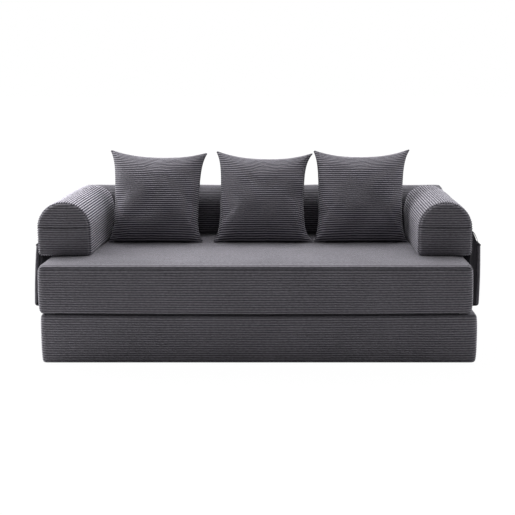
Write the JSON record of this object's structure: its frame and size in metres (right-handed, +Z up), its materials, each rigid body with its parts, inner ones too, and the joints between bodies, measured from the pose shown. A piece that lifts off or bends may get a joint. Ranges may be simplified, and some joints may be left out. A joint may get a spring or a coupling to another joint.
{
  "type": "folding sofa bed",
  "caption": "Folding floor sofa bed in wide-rib corduroy, with hinged foam slabs, D-section arm and back bolsters, side pockets and loose pillows.",
  "frame": {"origin": "on the floor, under the middle of the base slab", "axes": "+X along the sofa's length (the sitter's left), +Y to the back, +Z up"},
  "size_m": [2.0938, 0.7573, 0.876],
  "materials": {
    "sofa_corduroy": "matte wide-rib corduroy",
    "pillow_corduroy": "matte rib corduroy",
    "pocket_corduroy": "matte rib corduroy",
    "lining": "matte non-woven lining",
    "foam": "matte open-cell foam",
    "pillow_filling": "matte fibre filling",
    "hook_and_loop": "matte hook and loop tape",
    "hinge_cloth": "matte woven tape",
    "zip_tape": "woven tape with nylon coil",
    "zip_metal": "satin dark paint"
  },
  "bodies": {
    "seat_slab": {"hinge_leaf_upper": "hinge_cloth", "seat_cover": "sofa_corduroy", "seat_foam": "foam", "seat_liner": "lining", "seat_loop_pads": "hook_and_loop", "seat_zip": "zip_tape"},
    "base_slab": {"base_cover": "sofa_corduroy", "base_foam": "foam", "base_liner": "lining", "base_zip": "zip_tape", "hinge_leaf_lower": "hinge_cloth"},
    "back_bolster": {"back_bolster_cover": "sofa_corduroy", "back_bolster_end_panels": "sofa_corduroy", "back_bolster_foam_block": "foam", "back_bolster_foam_round": "foam", "back_bolster_hook_pads": "hook_and_loop", "back_bolster_zip": "zip_tape"},
    "left_arm": {"left_arm_cover": "sofa_corduroy", "left_arm_foam_block": "foam", "left_arm_foam_round": "foam", "left_arm_front_panel_lower": "sofa_corduroy", "left_arm_front_panel_upper": "sofa_corduroy", "left_arm_hook_pads": "hook_and_loop", "left_arm_rear_panel": "sofa_corduroy", "left_arm_zip": "zip_tape", "left_pocket_heading": "pocket_corduroy"},
    "right_arm": {"right_arm_cover": "sofa_corduroy", "right_arm_foam_block": "foam", "right_arm_foam_round": "foam", "right_arm_front_panel_lower": "sofa_corduroy", "right_arm_front_panel_upper": "sofa_corduroy", "right_arm_hook_pads": "hook_and_loop", "right_arm_rear_panel": "sofa_corduroy", "right_arm_zip": "zip_tape", "right_pocket_heading": "pocket_corduroy"},
    "left_pocket": {"left_pocket_back": "pocket_corduroy", "left_pocket_binding": "pocket_corduroy", "left_pocket_pouch": "pocket_corduroy"},
    "right_pocket": {"right_pocket_back": "pocket_corduroy", "right_pocket_binding": "pocket_corduroy", "right_pocket_pouch": "pocket_corduroy"},
    "left_pillow": {"left_pillow_cover": "pillow_corduroy", "left_pillow_filling": "pillow_filling", "left_pillow_zip": "zip_tape"},
    "centre_pillow": {"centre_pillow_cover": "pillow_corduroy", "centre_pillow_filling": "pillow_filling", "centre_pillow_zip": "zip_tape"},
    "right_pillow": {"right_pillow_cover": "pillow_corduroy", "right_pillow_filling": "pillow_filling", "right_pillow_zip": "zip_tape"},
    "back_bolster_slider": {"back_bolster_zip_slider": "zip_metal"},
    "base_slider": {"base_zip_slider": "zip_metal"},
    "centre_pillow_slider": {"centre_pillow_zip_slider": "zip_metal"},
    "left_arm_slider": {"left_arm_zip_slider": "zip_metal"},
    "left_pillow_slider": {"left_pillow_zip_slider": "zip_metal"},
    "right_arm_slider": {"right_arm_zip_slider": "zip_metal"},
    "right_pillow_slider": {"right_pillow_zip_slider": "zip_metal"},
    "seat_slider": {"seat_zip_slider": "zip_metal"}
  },
  "joints": [
    {"name": "bed_unfold", "type": "hinge", "parent": "seat_slab", "child": "base_slab", "pos_m": [0, -0.3762, 0.223], "axis": [-1, 0, 0], "range_deg": [0, 180]},
    {"name": "back_lift", "type": "slide", "parent": "seat_slab", "child": "back_bolster", "axis": [0, 0.7071, 0.7071], "range_m": [0, 0.3]},
    {"name": "left_arm_lift", "type": "slide", "parent": "seat_slab", "child": "left_arm", "axis": [-0.7071, 0, 0.7071], "range_m": [0, 0.3]},
    {"name": "left_pocket_swing", "type": "hinge", "parent": "left_arm", "child": "left_pocket", "pos_m": [-1.0234, -0.068, 0.5534], "axis": [0, 1, 0], "range_deg": [0, 120]},
    {"name": "right_arm_lift", "type": "slide", "parent": "seat_slab", "child": "right_arm", "axis": [0.7071, 0, 0.7071], "range_m": [0, 0.3]},
    {"name": "right_pocket_swing", "type": "hinge", "parent": "right_arm", "child": "right_pocket", "pos_m": [0.9784, -0.068, 0.5534], "axis": [0, -1, 0], "range_deg": [0, 120]},
    {"name": "left_pillow_lift", "type": "slide", "parent": "seat_slab", "child": "left_pillow", "axis": [0, -0.5, 0.866], "range_m": [0, 0.3]},
    {"name": "centre_pillow_lift", "type": "slide", "parent": "seat_slab", "child": "centre_pillow", "axis": [0, -0.5, 0.866], "range_m": [0, 0.3]},
    {"name": "right_pillow_lift", "type": "slide", "parent": "seat_slab", "child": "right_pillow", "axis": [0, -0.5, 0.866], "range_m": [0, 0.3]},
    {"name": "seat_slider_run", "type": "slide", "parent": "seat_slab", "child": "seat_slider", "axis": [-1, 0, 0], "range_m": [0, 1.608]},
    {"name": "base_slider_run", "type": "slide", "parent": "base_slab", "child": "base_slider", "axis": [-1, 0, 0], "range_m": [0, 1.608]},
    {"name": "back_bolster_slider_run", "type": "slide", "parent": "back_bolster", "child": "back_bolster_slider", "axis": [-1, 0, 0], "range_m": [0, 1.468]},
    {"name": "left_arm_slider_run", "type": "slide", "parent": "left_arm", "child": "left_arm_slider", "axis": [0, -1, 0], "range_m": [0, 0.2536]},
    {"name": "right_arm_slider_run", "type": "slide", "parent": "right_arm", "child": "right_arm_slider", "axis": [0, -1, 0], "range_m": [0, 0.2536]},
    {"name": "left_pillow_slider_run", "type": "slide", "parent": "left_pillow", "child": "left_pillow_slider", "axis": [-1, 0, 0], "range_m": [0, 0.3255]},
    {"name": "centre_pillow_slider_run", "type": "slide", "parent": "centre_pillow", "child": "centre_pillow_slider", "axis": [-1, 0, 0], "range_m": [0, 0.3255]},
    {"name": "right_pillow_slider_run", "type": "slide", "parent": "right_pillow", "child": "right_pillow_slider", "axis": [-1, 0, 0], "range_m": [0, 0.3255]}
  ]
}
